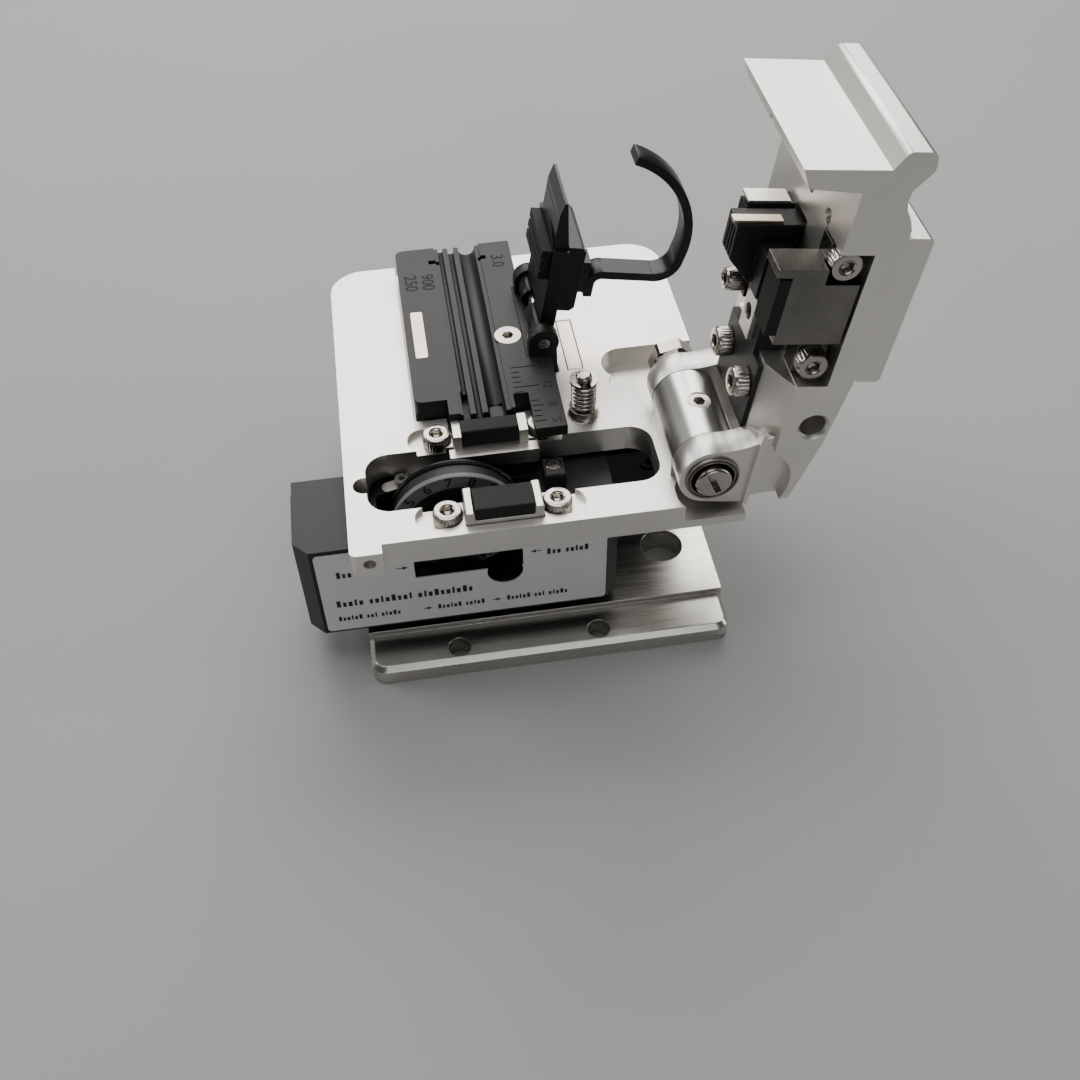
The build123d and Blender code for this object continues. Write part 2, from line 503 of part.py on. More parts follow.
lip = Pos(0, ARM_Y0, 0) * (arm_plane * extrude(lip, ARM_Y1 - ARM_Y0))
arm += lip
web_outline = [
    Polyline((4.2, 0), (-4.2, 0), (-4.4, 2.5), (-4.4, 5.4), (-3.9, 7.2), (7.3, 7.2)),
    ThreePointArc((7.3, 7.2), (5.15, 4.0), (4.2, 0)),
]
web = make_face(web_outline)
EARS = ((1.6, 5.3), (17.4, 20.8))
EAR_R = 4.2
for y0, y1 in EARS:
    arm += flap_rod_y(arm_plane, 0, 0, EAR_R, y0, y1)
    arm += Pos(0, y0, 0) * (arm_plane * extrude(web, y1 - y0))
    arm -= flap_rod_y(arm_plane, 0, 0, EAR_BORE_R, y0 - 1, y1 + 1)
arm += flap_box(arm_plane, -4.3, 7.3, ARM_Y0, 2.6, 4.75, 5.35)
skirt = flap_rod_y(arm_plane, -0.9, 3.9, 6.2, 0, 2.4)
arm -= skirt - flap_box(arm_plane, -8, 9, -1, 3, -8, 5.35)
cheek_outline = [(ARM_Y0, 7.5), (ARM_Y0, 6.8), (5.4, 4.2), (17.2, 4.2), (17.2, 7.5)]
cheek_end = Plane(origin=flap_point(arm_plane, 14.9, 0, 0), x_dir=(0, 1, 0), z_dir=-arm_plane.x_dir)
arm += cheek_end * extrude(make_face(Polyline(*cheek_outline, close=True)), 9.7)
CLAMP_U0 = 15.0
CLAMP_U1 = 33.1
arm -= flap_box(arm_plane, CLAMP_U0, CLAMP_U1, 0, 6.4, 6.0, 10.6)
STOP_HOLE = (8.57, 10.7)
STOP_HOLE_R = 1.6
STOP_CHAMFER = 0.4
arm -= flap_rod_y(arm_plane, *STOP_HOLE, STOP_HOLE_R, 0, ARM_Y0 + STOP_CHAMFER + 6.0)
stop_mouth = Plane(origin=flap_point(arm_plane, STOP_HOLE[0], ARM_Y0, STOP_HOLE[1]), z_dir=FRONT)
stop_cone = Cone(STOP_HOLE_R, STOP_HOLE_R + STOP_CHAMFER, STOP_CHAMFER)
arm -= stop_mouth * (Pos(0, 0, -STOP_CHAMFER / 2) * stop_cone)
ANVIL_TRAVEL = 0.8
arm -= flap_box(arm_plane, 21.8, 30.7, 11.1, 14.95, 6.0, 7.1 + ANVIL_TRAVEL + 0.3)
arm -= flap_rod_w(arm_plane, 34.2, 12.5, 0.7, 6.0, 9.0)
arm -= flap_rod_w(arm_plane, 34.2, 6.7, 0.9, 6.0, 9.0)
arm -= flap_rod_w(arm_plane, 40.9, 14.2, 0.8, -2.0, 3.0) & flap_box(arm_plane, 38, 43.0, 12, 16, -3, 9)

pad_block = flap_box(arm_plane, 15.6, 35.2, ARM_Y0, ARM_Y1 - 0.3, 13.7, 16.8)
pad_block = fillet(pad_block.edges().filter_by(Axis.Y), 0.6)
FINGER_SCREWS = ((20.0, 6.0), (20.0, 18.0), (31.0, 6.0), (31.0, 18.0))

BUSHES = ((1.2, 5.3, "hinge_bush_front"), (17.4, 20.8, "hinge_bush_rear"))
for y0, y1, name in BUSHES:
    bush = rod_y(HINGE_X, HINGE_Z, BUSH_R, y0, y1) - rod_y(HINGE_X, HINGE_Z, BUSH_BORE_R, 0, 25)
    if name == "hinge_bush_front":
        bush -= rod_y(HINGE_X, HINGE_Z, 2.75, 0, 3.35)
        bush -= rod_y(HINGE_X, HINGE_Z, 3.15, 0, 1.6) - rod_y(HINGE_X, HINGE_Z, 2.95, 0, 1.6)
    PARTS[name] = bush

# front clamp: steel jaw with a rubber face, screwed into the window of the arm
jaw = flap_box(arm_plane, 15.2, 32.9, 3.6, 6.3, 6.7, 10.4)
jaw += flap_box(arm_plane, 20.9, 30.9, 1.4, 5.5, 2.4, 10.4)
jaw -= flap_box(arm_plane, 29.0, 34.0, 0.0, 3.6, 6.3, 11.0)
jaw += flap_box(arm_plane, 29.85, 30.9, 1.4, 5.5, 0.6, 2.6)
JAW_SCREWS = ((17.3, 8.4), (31.1, 8.3))
jaw_screws = []
jaw_screw = cap_screw(7.0)
for u, w in JAW_SCREWS:
    jaw -= flap_rod_y(arm_plane, u, w, M2_R + FIT, 0, 8.0)
    arm -= flap_rod_y(arm_plane, u, w, M2_R + FIT, 5.0, 10.9)
    spot = flap_point(arm_plane, u, 3.6, w)
    jaw_screws.append(put_screw(jaw_screw, spot, FRONT))
PARTS["front_clamp_jaw"] = jaw
PARTS["front_clamp_screws"] = Compound(jaw_screws)
PARTS["front_clamp_rubber"] = flap_box(arm_plane, 22.2, 29.6, 1.35, 5.45, 1.0, 2.4)

# rear clamp: black block with a rubber face and a plated adjusting screw
rear_jaw = flap_box(arm_plane, 22.0, 30.3, 15.3, 17.85, 1.9, 6.8)
rear_jaw += flap_box(arm_plane, 17.2, 22.1, 15.3, 18.4, 3.6, 6.8)
rear_screw = cap_screw(3.2, 1.45, 2.4, M2_R, 0.75, 0.9)
REAR_SCREW = (18.9, 16.7)
rear_jaw -= flap_rod_w(arm_plane, *REAR_SCREW, M2_R + FIT, 3.0, 7.5)
arm -= flap_rod_w(arm_plane, *REAR_SCREW, M2_R + FIT, 6.0, 9.0)
PARTS["rear_clamp_jaw"] = rear_jaw
inward = tuple(-arm_plane.y_dir)
spot = flap_point(arm_plane, REAR_SCREW[0], REAR_SCREW[1], 3.6)
PARTS["rear_clamp_screw"] = put_screw(rear_screw, spot, inward)
PARTS["rear_clamp_rubber"] = flap_box(arm_plane, 22.3, 29.7, 15.35, 17.8, 1.0, 1.9)
PARTS["rear_clamp_cap"] = flap_box(arm_plane, 30.3, 30.6, 15.3, 17.85, 1.1, 6.2)

# anvil: sprung black block that bends the fibre over the cut, with a thin metal leaf
anvil_outline = [(22.0, 7.1), (22.0, 2.0), (25.4, -1.1), (30.0, -1.1), (30.0, 7.1)]
slit_outline = [(21.0, 4.6), (25.9, 0.2), (29.2, 0.2), (29.2, -2.0), (21.0, -2.0)]
anvil = flap_prism(arm_plane, anvil_outline, 11.3, 14.75)
anvil += flap_box(arm_plane, 22.0, 27.6, 8.4, 11.4, 2.0, 5.9)
for y in (11.9, 12.75, 13.6):
    anvil -= flap_prism(arm_plane, slit_outline, y, y + 0.35)
PARTS["anvil_block"] = anvil
PARTS["anvil_leaf"] = flap_box(arm_plane, 30.0, 30.4, 11.5, 12.9, -1.6, 4.3)

# black bracket that guides the anvil, two plated screws into the arm
bracket_outline = [(14.0, 4.2), (14.0, 3.5), (21.6, 3.5), (21.6, 6.8), (14.95, 6.8), (14.95, 4.2)]
guide = flap_prism(arm_plane, bracket_outline, 7.9, 12.9)
guide += flap_box(arm_plane, 4.8, 14.4, 5.5, 17.2, 3.5, 4.2)
GUIDE_SCREWS = ((10.4, 7.6), (10.4, 15.4))
guide_screws = []
guide_screw = cap_screw(6.0)
for u, y in GUIDE_SCREWS:
    guide -= flap_rod_w(arm_plane, u, y, M2_R + FIT, 2.0, 7.5)
    arm -= flap_rod_w(arm_plane, u, y, M2_R + FIT, 4.0, 9.9)
    guide_screws.append(put_screw(guide_screw, flap_point(arm_plane, u, y, 3.5), inward))
PARTS["anvil_guide"] = guide
PARTS["anvil_guide_screws"] = Compound(guide_screws)
tab = flap_box(arm_plane, 15.4, 21.0, 9.3, 12.7, 2.8, 3.5) - flap_rod_w(arm_plane, 18.4, 11.0, 1.05, 2, 4)
PARTS["anvil_adjuster"] = tab

finger_screws = []
finger_screw = flat_screw(5.0, 1.85, 1.25, 1.1, 0.85)
for u, y in FINGER_SCREWS:
    pad_block -= flap_rod_w(arm_plane, u, y, 1.25 + FIT, 13.0, 18.0)
    arm -= flap_rod_w(arm_plane, u, y, 1.25 + FIT, 11.6, 14.0)
    head_seat = Plane(origin=flap_point(arm_plane, u, y, 16.8), z_dir=arm_plane.y_dir)
    pad_block -= head_seat * (Pos(0, 0, -0.55) * Cone(1.25 + FIT, 1.85 + FIT, 1.1))
    finger_screws.append(head_seat * finger_screw)
PARTS["arm_body"] = arm
PARTS["finger_pad"] = pad_block
PARTS["finger_pad_screws"] = Compound(finger_screws)

# ---------------------------------------------------------------- write every piece
TO_ORIGIN = Pos(-PLATE_W / 2, -(BASE_FRONT + BASE_BACK) / 2, -BASE_BOTTOM)
os.makedirs("parts", exist_ok=True)
for name, shape in PARTS.items():
    export_step(TO_ORIGIN * shape, f"parts/{name}.step")
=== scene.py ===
"""Looks of the optical fibre cleaver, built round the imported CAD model.

Everything is in metres in the row frame. Lengths written in millimetres go through MM or at().
"""
import json
import math

import bmesh
import bpy
from mathutils import Matrix, Vector


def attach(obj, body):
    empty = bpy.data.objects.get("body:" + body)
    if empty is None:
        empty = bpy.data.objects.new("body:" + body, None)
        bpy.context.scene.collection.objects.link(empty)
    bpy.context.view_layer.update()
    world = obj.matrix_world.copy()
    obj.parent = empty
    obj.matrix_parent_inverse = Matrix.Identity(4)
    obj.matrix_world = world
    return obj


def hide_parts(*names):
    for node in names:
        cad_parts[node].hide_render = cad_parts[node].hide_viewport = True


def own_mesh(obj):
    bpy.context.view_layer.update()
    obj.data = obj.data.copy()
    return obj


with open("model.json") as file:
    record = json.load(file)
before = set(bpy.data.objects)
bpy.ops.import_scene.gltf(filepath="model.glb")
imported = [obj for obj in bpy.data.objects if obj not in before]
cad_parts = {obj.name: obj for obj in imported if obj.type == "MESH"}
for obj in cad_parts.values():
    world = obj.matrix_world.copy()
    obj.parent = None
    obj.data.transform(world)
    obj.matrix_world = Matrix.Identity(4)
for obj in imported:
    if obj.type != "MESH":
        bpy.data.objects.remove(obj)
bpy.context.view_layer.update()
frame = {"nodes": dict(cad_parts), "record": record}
NODES = frame["nodes"]
MM = 0.001

# ------------------------------------------------------------------ places shared with the CAD model
PLATE_CORNER = Vector((-25.0, -26.7, 27.0))
HINGE = (45.5, 3.0)                      # x and z of the arm's hinge axis
ARM_OPEN = math.radians(97.25)
LATCH = (32.4, 19.0)                     # x and y of the latch pin
BLADE_AXIS = (13.8, -6.2)                # x and z of the blade arbor


def at(x, y, z):
    """A point given in plate millimetres, in the row frame."""
    return (Vector((x, y, z)) + PLATE_CORNER) * MM


def flap(axis, angle):
    """Matrix from flap millimetres (u along, y, w outward) to the row frame."""
    along = Vector((-math.cos(angle), 0, math.sin(angle)))
    outward = Vector((math.sin(angle), 0, math.cos(angle)))
    m = Matrix.Identity(4)
    for row in range(3):
        m[row][0] = along[row] * MM
        m[row][1] = (0, 1, 0)[row] * MM
        m[row][2] = outward[row] * MM
    m.translation = at(axis[0], 0, axis[1])
    return m


PLATE = Matrix.Translation(PLATE_CORNER * MM) @ Matrix.Scale(MM, 4)
ARM = flap(HINGE, ARM_OPEN)


# ------------------------------------------------------------------ materials
class Nodes:
    """A small wrapper that makes node trees short to write."""

    def __init__(self, name):
        self.material = bpy.data.materials.new(name)
        self.material.use_nodes = True
        self.tree = self.material.node_tree
        self.shader = self.tree.nodes["Principled BSDF"]
        self.place = self.add("ShaderNodeTexCoord").outputs["Object"]

    def add(self, kind, **settings):
        node = self.tree.nodes.new(kind)
        for key, value in settings.items():
            setattr(node, key, value)
        return node

    def link(self, a, b):
        self.tree.links.new(a, b)

    def constants(self, **values):
        for key, value in values.items():
            self.shader.inputs[key.replace("_", " ")].default_value = value

    def stretched(self, scale):
        mapping = self.add("ShaderNodeMapping")
        mapping.inputs["Scale"].default_value = scale
        self.link(self.place, mapping.inputs["Vector"])
        return mapping.outputs["Vector"]

    def noise(self, scale, detail=3.0, rough=0.55, stretch=None):
        node = self.add("ShaderNodeTexNoise")
        node.inputs["Scale"].default_value = scale
        node.inputs["Detail"].default_value = detail
        node.inputs["Roughness"].default_value = rough
        self.link(self.stretched(stretch) if stretch else self.place, node.inputs["Vector"])
        return node.outputs["Fac"]

    def spread(self, value, low, high, start=0.3, end=0.7):
        node = self.add("ShaderNodeMapRange")
        node.inputs["From Min"].default_value = start
        node.inputs["From Max"].default_value = end
        node.inputs["To Min"].default_value = low
        node.inputs["To Max"].default_value = high
        self.link(value, node.inputs["Value"])
        return node.outputs["Result"]

    def blend(self, factor, a, b):
        node = self.add("ShaderNodeMix", data_type="RGBA")
        self.link(factor, node.inputs["Factor"])
        for socket, colour in ((node.inputs[6], a), (node.inputs[7], b)):
            if isinstance(colour, tuple):
                socket.default_value = (*colour, 1.0)
            else:
                self.link(colour, socket)
        return node.outputs[2]

    def bump(self, height, distance):
        node = self.add("ShaderNodeBump")
        node.inputs["Distance"].default_value = distance
        node.inputs["Strength"].default_value = 1.0
        self.link(height, node.inputs["Height"])
        return node.outputs["Normal"]

    def edge_mask(self, radius):
        """1 at convex and concave edges, 0 on flats."""
        bevel = self.add("ShaderNodeBevel", samples=4)
        bevel.inputs["Radius"].default_value = radius
        flat = self.add("ShaderNodeNewGeometry").outputs["Normal"]
        dot = self.add("ShaderNodeVectorMath", operation="DOT_PRODUCT")
        self.link(bevel.outputs["Normal"], dot.inputs[0])
        self.link(flat, dot.inputs[1])
        return self.spread(dot.outputs["Value"], 1.0, 0.0, 0.86, 0.995)


def metal(name, colour, dark, rough, grain=None, lines=None, edge=0.0, bump=0.000012):
    """Metal with tone and gloss variation. grain is a blast texture scale, lines a brushing stretch."""
    n = Nodes(name)
    n.constants(Metallic=1.0)
    tone = n.noise(160.0, 4.0)
    fine = n.noise(1.0, 2.0, 0.6, lines) if lines else n.noise(grain, 3.0, 0.7)
    base = n.blend(n.spread(tone, 0.0, 1.0), colour, dark)
    if edge:
        bright = tuple(min(1.0, c * 1.08 + 0.03) for c in colour)
        base = n.blend(n.edge_mask(edge), base, bright)
    n.link(base, n.shader.inputs["Base Color"])
    n.link(n.spread(fine, rough[0], rough[1]), n.shader.inputs["Roughness"])
    n.link(n.bump(fine, bump), n.shader.inputs["Normal"])
    return n.material


COATING_SPECULAR = 0.32
WORN_EDGE = 0.00018


def coated(name, colour, dark, rough, grain, metallic=0.0, wear=None, bump=0.00001):
    """Anodised, painted, plastic or rubber surface with a fine grain and optional worn edges."""
    n = Nodes(name)
    n.constants(Metallic=metallic, Specular_IOR_Level=COATING_SPECULAR)
    tone = n.noise(220.0, 4.0)
    fine = n.noise(grain, 3.0, 0.65)
    base = n.blend(n.spread(tone, 0.0, 1.0), colour, dark)
    if wear:
        chips = n.add("ShaderNodeMath", operation="MULTIPLY")
        n.link(n.edge_mask(WORN_EDGE), chips.inputs[0])
        n.link(n.spread(n.noise(900.0, 3.0), 0.15, 1.0, 0.42, 0.62), chips.inputs[1])
        base = n.blend(chips.outputs[0], base, wear)
    n.link(base, n.shader.inputs["Base Color"])
    n.link(n.spread(fine, rough[0], rough[1]), n.shader.inputs["Roughness"])
    n.link(n.bump(fine, bump), n.shader.inputs["Normal"])
    return n.material


MATERIALS = {
    "blasted_aluminium": metal("blasted_aluminium", (0.76, 0.738, 0.70), (0.72, 0.70, 0.662), (0.34, 0.44),
                               grain=6500.0, edge=0.00012, bump=0.000012),
    "turned_aluminium": metal("turned_aluminium", (0.70, 0.69, 0.665), (0.66, 0.65, 0.625), (0.27, 0.33),
                              grain=5200.0, bump=0.000002),
    "base_metal": metal("base_metal", (0.66, 0.64, 0.595), (0.60, 0.58, 0.535), (0.25, 0.31),
                        lines=(40.0, 900.0, 900.0), edge=0.0002, bump=0.0000008),
    "support_black": coated("support_black", (0.022, 0.022, 0.023), (0.014, 0.014, 0.015),
                            (0.40, 0.52), 5200.0, metallic=0.2, bump=0.000008),
    "black_oxide": metal("black_oxide", (0.040, 0.040, 0.042), (0.026, 0.026, 0.027), (0.28, 0.42),
                         lines=(100.0, 6000.0, 6000.0), bump=0.000002),
    "bearing_steel": metal("bearing_steel", (0.60, 0.60, 0.60), (0.52, 0.52, 0.52), (0.18, 0.30),
                           lines=(100.0, 6000.0, 6000.0), bump=0.000002),
    "nickel_screws": metal("nickel_screws", (0.52, 0.485, 0.44), (0.36, 0.33, 0.295), (0.18, 0.30),
                           grain=3200.0, edge=0.0001, bump=0.000004),
    "pad_frame_metal": metal("pad_frame_metal", (0.62, 0.60, 0.55), (0.55, 0.53, 0.485), (0.30, 0.40),
                             lines=(300.0, 5000.0, 5000.0), edge=0.0001, bump=0.000003),
    "magnet_nickel": metal("magnet_nickel", (0.63, 0.525, 0.445), (0.57, 0.47, 0.395), (0.28, 0.38),
                           grain=2500.0, edge=0.00015, bump=0.000002),
    "blade_carbide": metal("blade_carbide", (0.16, 0.16, 0.165), (0.10, 0.10, 0.105), (0.20, 0.32),
                           grain=5000.0, bump=0.000003),
    "steel_jaw": metal("steel_jaw", (0.20, 0.192, 0.178), (0.14, 0.134, 0.124), (0.24, 0.36),
                       lines=(7000.0, 7000.0, 250.0), edge=0.00012, bump=0.000003),
    "spring_wire": metal("spring_wire", (0.70, 0.675, 0.63), (0.56, 0.535, 0.49), (0.14, 0.26),
                         grain=3000.0, bump=0.000003),
    "bush_bronze": metal("bush_bronze", (0.34, 0.325, 0.30), (0.24, 0.225, 0.205), (0.28, 0.42),
                         grain=5000.0, bump=0.000006),
    "black_screws": coated("black_screws", (0.030, 0.030, 0.030), (0.018, 0.018, 0.018),
                           (0.32, 0.45), 4000.0, metallic=0.4),
    "black_rubber": coated("black_rubber", (0.010, 0.010, 0.010), (0.006, 0.006, 0.006),
                           (0.58, 0.76), 5200.0, bump=0.000014),
    "black_anodised": coated("black_anodised", (0.017, 0.017, 0.017), (0.011, 0.011, 0.011),
                             (0.40, 0.52), 6000.0, wear=(0.05, 0.05, 0.05), bump=0.000009),
    "black_housing": coated("black_housing", (0.008, 0.008, 0.0083), (0.005, 0.005, 0.0052),
                            (0.36, 0.48), 5200.0, wear=(0.03, 0.03, 0.03), bump=0.000008),
    "black_sheet": coated("black_sheet", (0.007, 0.007, 0.0072), (0.0045, 0.0045, 0.0047),
                          (0.28, 0.40), 3500.0, wear=(0.022, 0.022, 0.022), bump=0.000004),
    "label": coated("label", (0.72, 0.72, 0.715), (0.68, 0.68, 0.675), (0.32, 0.42), 3000.0, bump=0.000002),
    "dial_grey": coated("dial_grey", (0.150, 0.154, 0.165), (0.120, 0.124, 0.134), (0.36, 0.48), 5200.0,
                        bump=0.000005),
    "ink": coated("ink", (0.020, 0.020, 0.021), (0.014, 0.014, 0.015), (0.45, 0.60), 2500.0, bump=0.000002),
    "engraving": coated("engraving", (0.006, 0.006, 0.006), (0.003, 0.003, 0.003), (0.60, 0.75), 3000.0,
                        bump=0.000003),
}
SLOT_OF = {part["node"]: part["material_slot"] for part in frame["record"]["subparts"]}


def paint(obj, name):
    """Give an object one material in place of whatever it came with."""
    obj.data.materials.clear()
    obj.data.materials.append(MATERIALS[name])


def edge_break(obj, width, angle=35.0):
    """Break the sharp edges of a CAD node and smooth what is curved."""
    weld = obj.modifiers.new("weld", "WELD")
    weld.merge_threshold = 1e-6
    flats = obj.modifiers.new("flats", "DECIMATE")
    flats.decimate_type = "DISSOLVE"
    flats.angle_limit = math.radians(0.4)
    bevel = obj.modifiers.new("edges", "BEVEL")
    bevel.width = width
    bevel.segments = 2
    bevel.limit_method = "ANGLE"
    bevel.angle_limit = math.radians(angle)
    bevel.use_clamp_overlap = True
    bevel.miter_outer = "MITER_ARC"
    bevel.harden_normals = True


for node_name, obj in NODES.items():
    paint(obj, SLOT_OF[node_name])

# bevel width of each node's sharp edges, in millimetres
BROKEN_EDGES = {
    "top_plate": 0.16, "arm_body": 0.08, "base_plate": 0.22, "finger_pad": 0.20,
    "fibre_holder": 0.10, "blade_carriage": 0.18, "lid_body": 0.12, "lid_hook": 0.14, "lid_bracket": 0.12,
    "front_clamp_jaw": 0.12, "rear_clamp_jaw": 0.12, "anvil_block": 0.10, "anvil_guide": 0.12,
    "front_pad_frame": 0.10, "rear_pad_frame": 0.10, "index_block": 0.08, "anvil_adjuster": 0.10,
    "anvil_leaf": 0.08, "lid_pressing_pad": 0.06, "plate_magnet": 0.06, "holder_magnet": 0.06,
    "front_clamp_rubber": 0.08, "rear_clamp_rubber": 0.08, "dial_ring": 0.05, "detent_spring_leaf": 0.06,
    "rear_support": 0.20, "linear_rail": 0.20, "rail_bearing_block": 0.20, "latch_collar": 0.12,
    "blade_clamp_nut": 0.10, "hinge_axle": 0.06, "hinge_bush_front": 0.08, "hinge_bush_rear": 0.08,
}
for node_name, width in BROKEN_EDGES.items():
    edge_break(NODES[node_name], width * MM)


# ------------------------------------------------------------------ mesh building
def lathe(bm, matrix, profile, segments):
    """Add a closed solid of revolution. A profile row is (z, radius); the radius may depend on the angle."""
    rings = []
    for z, radius in profile:
        ring = []
        for step in range(segments):
            angle = math.tau * step / segments
            r = radius(angle) if callable(radius) else radius
            ring.append(bm.verts.new(matrix @ Vector((r * math.cos(angle), r * math.sin(angle), z))))
        rings.append(ring)
    for lower, upper in zip(rings, rings[1:]):
        for i in range(segments):
            j = (i + 1) % segments
            bm.faces.new((lower[i], lower[j], upper[j], upper[i]))
    bm.faces.new(rings[0])
    bm.faces.new(rings[-1])


def block(bm, matrix, low, high):
    """Add a closed box between two corners."""
    corners = [bm.verts.new(matrix @ Vector((x, y, z)))
               for x in (low[0], high[0]) for y in (low[1], high[1]) for z in (low[2], high[2])]
    for face in ((0, 1, 3, 2), (4, 6, 7, 5), (0, 4, 5, 1), (2, 3, 7, 6), (0, 2, 6, 4), (1, 5, 7, 3)):
        bm.faces.new([corners[i] for i in face])


def prism(bm, matrix, outline, y0, y1):
    """Add a closed prism: an outline of (x, z) points run from y0 to y1."""
    near = [bm.verts.new(matrix @ Vector((x, y0, z))) for x, z in outline]
    far = [bm.verts.new(matrix @ Vector((x, y1, z))) for x, z in outline]
    bm.faces.new(near)
    bm.faces.new(far)
    for i in range(len(outline)):
        j = (i + 1) % len(outline)
        bm.faces.new((near[i], near[j], far[j], far[i]))


FIGURE_DEPTH = 0.03


def numeral(bm, text, size, matrix, boldness=0.012):
    """Add figures as thin closed slabs lying in the xy plane of matrix, centred on it."""
    curve = bpy.data.curves.new("numeral", "FONT")
    curve.body = text
    curve.size = size
    curve.align_x = "CENTER"
    curve.align_y = "CENTER"
    curve.extrude = FIGURE_DEPTH / 2
    curve.offset = boldness * size
    shape = bpy.data.objects.new("numeral", curve)
    bpy.context.scene.collection.objects.link(shape)
    solid = shape.evaluated_get(bpy.context.evaluated_depsgraph_get())
    mesh = bpy.data.meshes.new_from_object(solid)
    mesh.transform(matrix)
    bm.from_mesh(mesh)
    bpy.data.objects.remove(shape)
    bpy.data.meshes.remove(mesh)
    bpy.data.curves.remove(curve)


def piece(name, bm, material, body, replaced=(), sharp=38.0):
    """Finish a mesh as a named piece that rides on a body."""
    bmesh.ops.remove_doubles(bm, verts=bm.verts, dist=0.0000005)
    bmesh.ops.recalc_face_normals(bm, faces=bm.faces)
    mesh = bpy.data.meshes.new(name)
    bm.to_mesh(mesh)
    bm.free()
    mesh.polygons.foreach_set("use_smooth", [True] * len(mesh.polygons))
    mesh.set_sharp_from_angle(angle=math.radians(sharp))
    obj = bpy.data.objects.new(name, mesh)
    mesh.materials.append(MATERIALS[material])
    bpy.context.scene.collection.objects.link(obj)
    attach(obj, body)
    if replaced:
        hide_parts(*replaced)
    return obj


def facing(space, point, direction):
    """Matrix at a point of a coordinate space, with its z axis along direction."""
    turn = Vector(direction).to_track_quat("Z", "Y").to_matrix().to_4x4()
    return space @ Matrix.Translation(point) @ turn


# ------------------------------------------------------------------ knurled socket head screws
KNURL_TEETH = 32
KNURL_DEPTH = 0.026                      # share of the head's radius


def hexagon(corner):
    """Radius of a hexagon against the angle; corner is its corner radius."""
    sixth = math.pi / 3
    return lambda angle: corner * math.cos(sixth / 2) / math.cos(angle % sixth - sixth / 2)


def knurl(radius, teeth, depth):
    """Radius of a finely knurled rim against the angle."""
    return lambda angle: radius - depth * (0.5 - 0.5 * math.cos(teeth * angle)) ** 0.6


def knurled_screw(bm, matrix, head_r, head_h, key_r, key_depth, shank_r, length):
    """A socket head screw, its bearing face at z = 0 of matrix."""
    rim = knurl(head_r, KNURL_TEETH, KNURL_DEPTH * head_r)
    profile = [
        (-length, 0.75 * shank_r), (-length + 0.25, shank_r), (0.0, shank_r),
        (0.0, 0.91 * head_r), (0.07 * head_r, rim), (0.76 * head_h, rim),
        (0.80 * head_h, 0.955 * head_r), (0.88 * head_h, 0.955 * head_r),
        (0.97 * head_h, 0.90 * head_r), (head_h, 0.82 * head_r),
        (head_h, 1.16 * key_r), (head_h - 0.14 * key_r, 1.04 * key_r),
        (head_h - 0.20 * key_r, hexagon(key_r)), (head_h - key_depth, hexagon(key_r)),
        (head_h - key_depth - 0.25 * key_r, 0.25 * key_r),
    ]
    lathe(bm, matrix, profile, KNURL_TEETH * 6)


M2 = {"head_r": 1.88, "head_h": 2.0, "key_r": 0.87, "key_depth": 1.1, "shank_r": 0.98}
UP, FRONT, INWARD = (0, 0, 1), (0, -1, 0), (0, 0, -1)
# node: body, coordinate space, direction of the head, sizes, places of the bearing faces
SCREW_SETS = {
    "pad_screws": ("base", PLATE, UP, {**M2, "length": 3.0},
                   [(x, y, -0.9) for x in (12.5, 26.35) for y in (3.4, 17.45)]),
    "front_clamp_screws": ("arm", ARM, FRONT, {**M2, "length": 7.0}, [(17.3, 3.6, 8.4), (31.1, 3.6, 8.3)]),
    "anvil_guide_screws": ("arm", ARM, INWARD, {**M2, "length": 6.0}, [(10.4, 7.6, 3.5), (10.4, 15.4, 3.5)]),
    "rear_clamp_screw": ("arm", ARM, INWARD,
                         {"head_r": 1.45, "head_h": 2.4, "key_r": 0.75, "key_depth": 0.9, "shank_r": 0.98,
                          "length": 3.2}, [(18.9, 16.7, 3.6)]),
}
for node_name, (body, space, direction, sizes, places) in SCREW_SETS.items():
    bm = bmesh.new()
    for place in places:
        knurled_screw(bm, facing(space, place, direction), **sizes)
    piece(node_name + "_knurled", bm, "nickel_screws", body, (node_name,))

# ------------------------------------------------------------------ coil spring on the latch pin
SPRING_LOW, SPRING_HIGH = 1.62, 5.60
SPRING_R, WIRE_R = 1.52, 0.19
ACTIVE_TURNS, FLAT_TURNS = 4.5, 0.8
STEPS_A_TURN, WIRE_SIDES = 28, 10


def spring_height(turn):
    """Height of the wire's middle after so many turns; the end turns lie flat."""
    rising = min(max((turn - FLAT_TURNS) / ACTIVE_TURNS, 0.0), 1.0)
    flat = min(turn, FLAT_TURNS) + max(turn - FLAT_TURNS - ACTIVE_TURNS, 0.0)
    flat_rise = WIRE_R * 2.0
    active_rise = SPRING_HIGH - SPRING_LOW - 2 * WIRE_R - 2 * flat_rise * FLAT_TURNS
    return SPRING_LOW + WIRE_R + flat * flat_rise + rising * active_rise


def wire(bm, matrix, points, radius, sides):
    """Add a closed round wire along a list of points."""
    rings = []
    for i, point in enumerate(points):
        ahead = points[min(i + 1, len(points) - 1)] - points[max(i - 1, 0)]
        turn = ahead.to_track_quat("Z", "X").to_matrix()
        ring = []
        for side in range(sides):
            angle = math.tau * side / sides
            offset = turn @ Vector((radius * math.cos(angle), radius * math.sin(angle), 0))
            ring.append(bm.verts.new(matrix @ (point + offset)))
        rings.append(ring)
    for lower, upper in zip(rings, rings[1:]):
        for i in range(sides):
            j = (i + 1) % sides
            bm.faces.new((lower[i], lower[j], upper[j], upper[i]))
    bm.faces.new(rings[0])
    bm.faces.new(rings[-1])


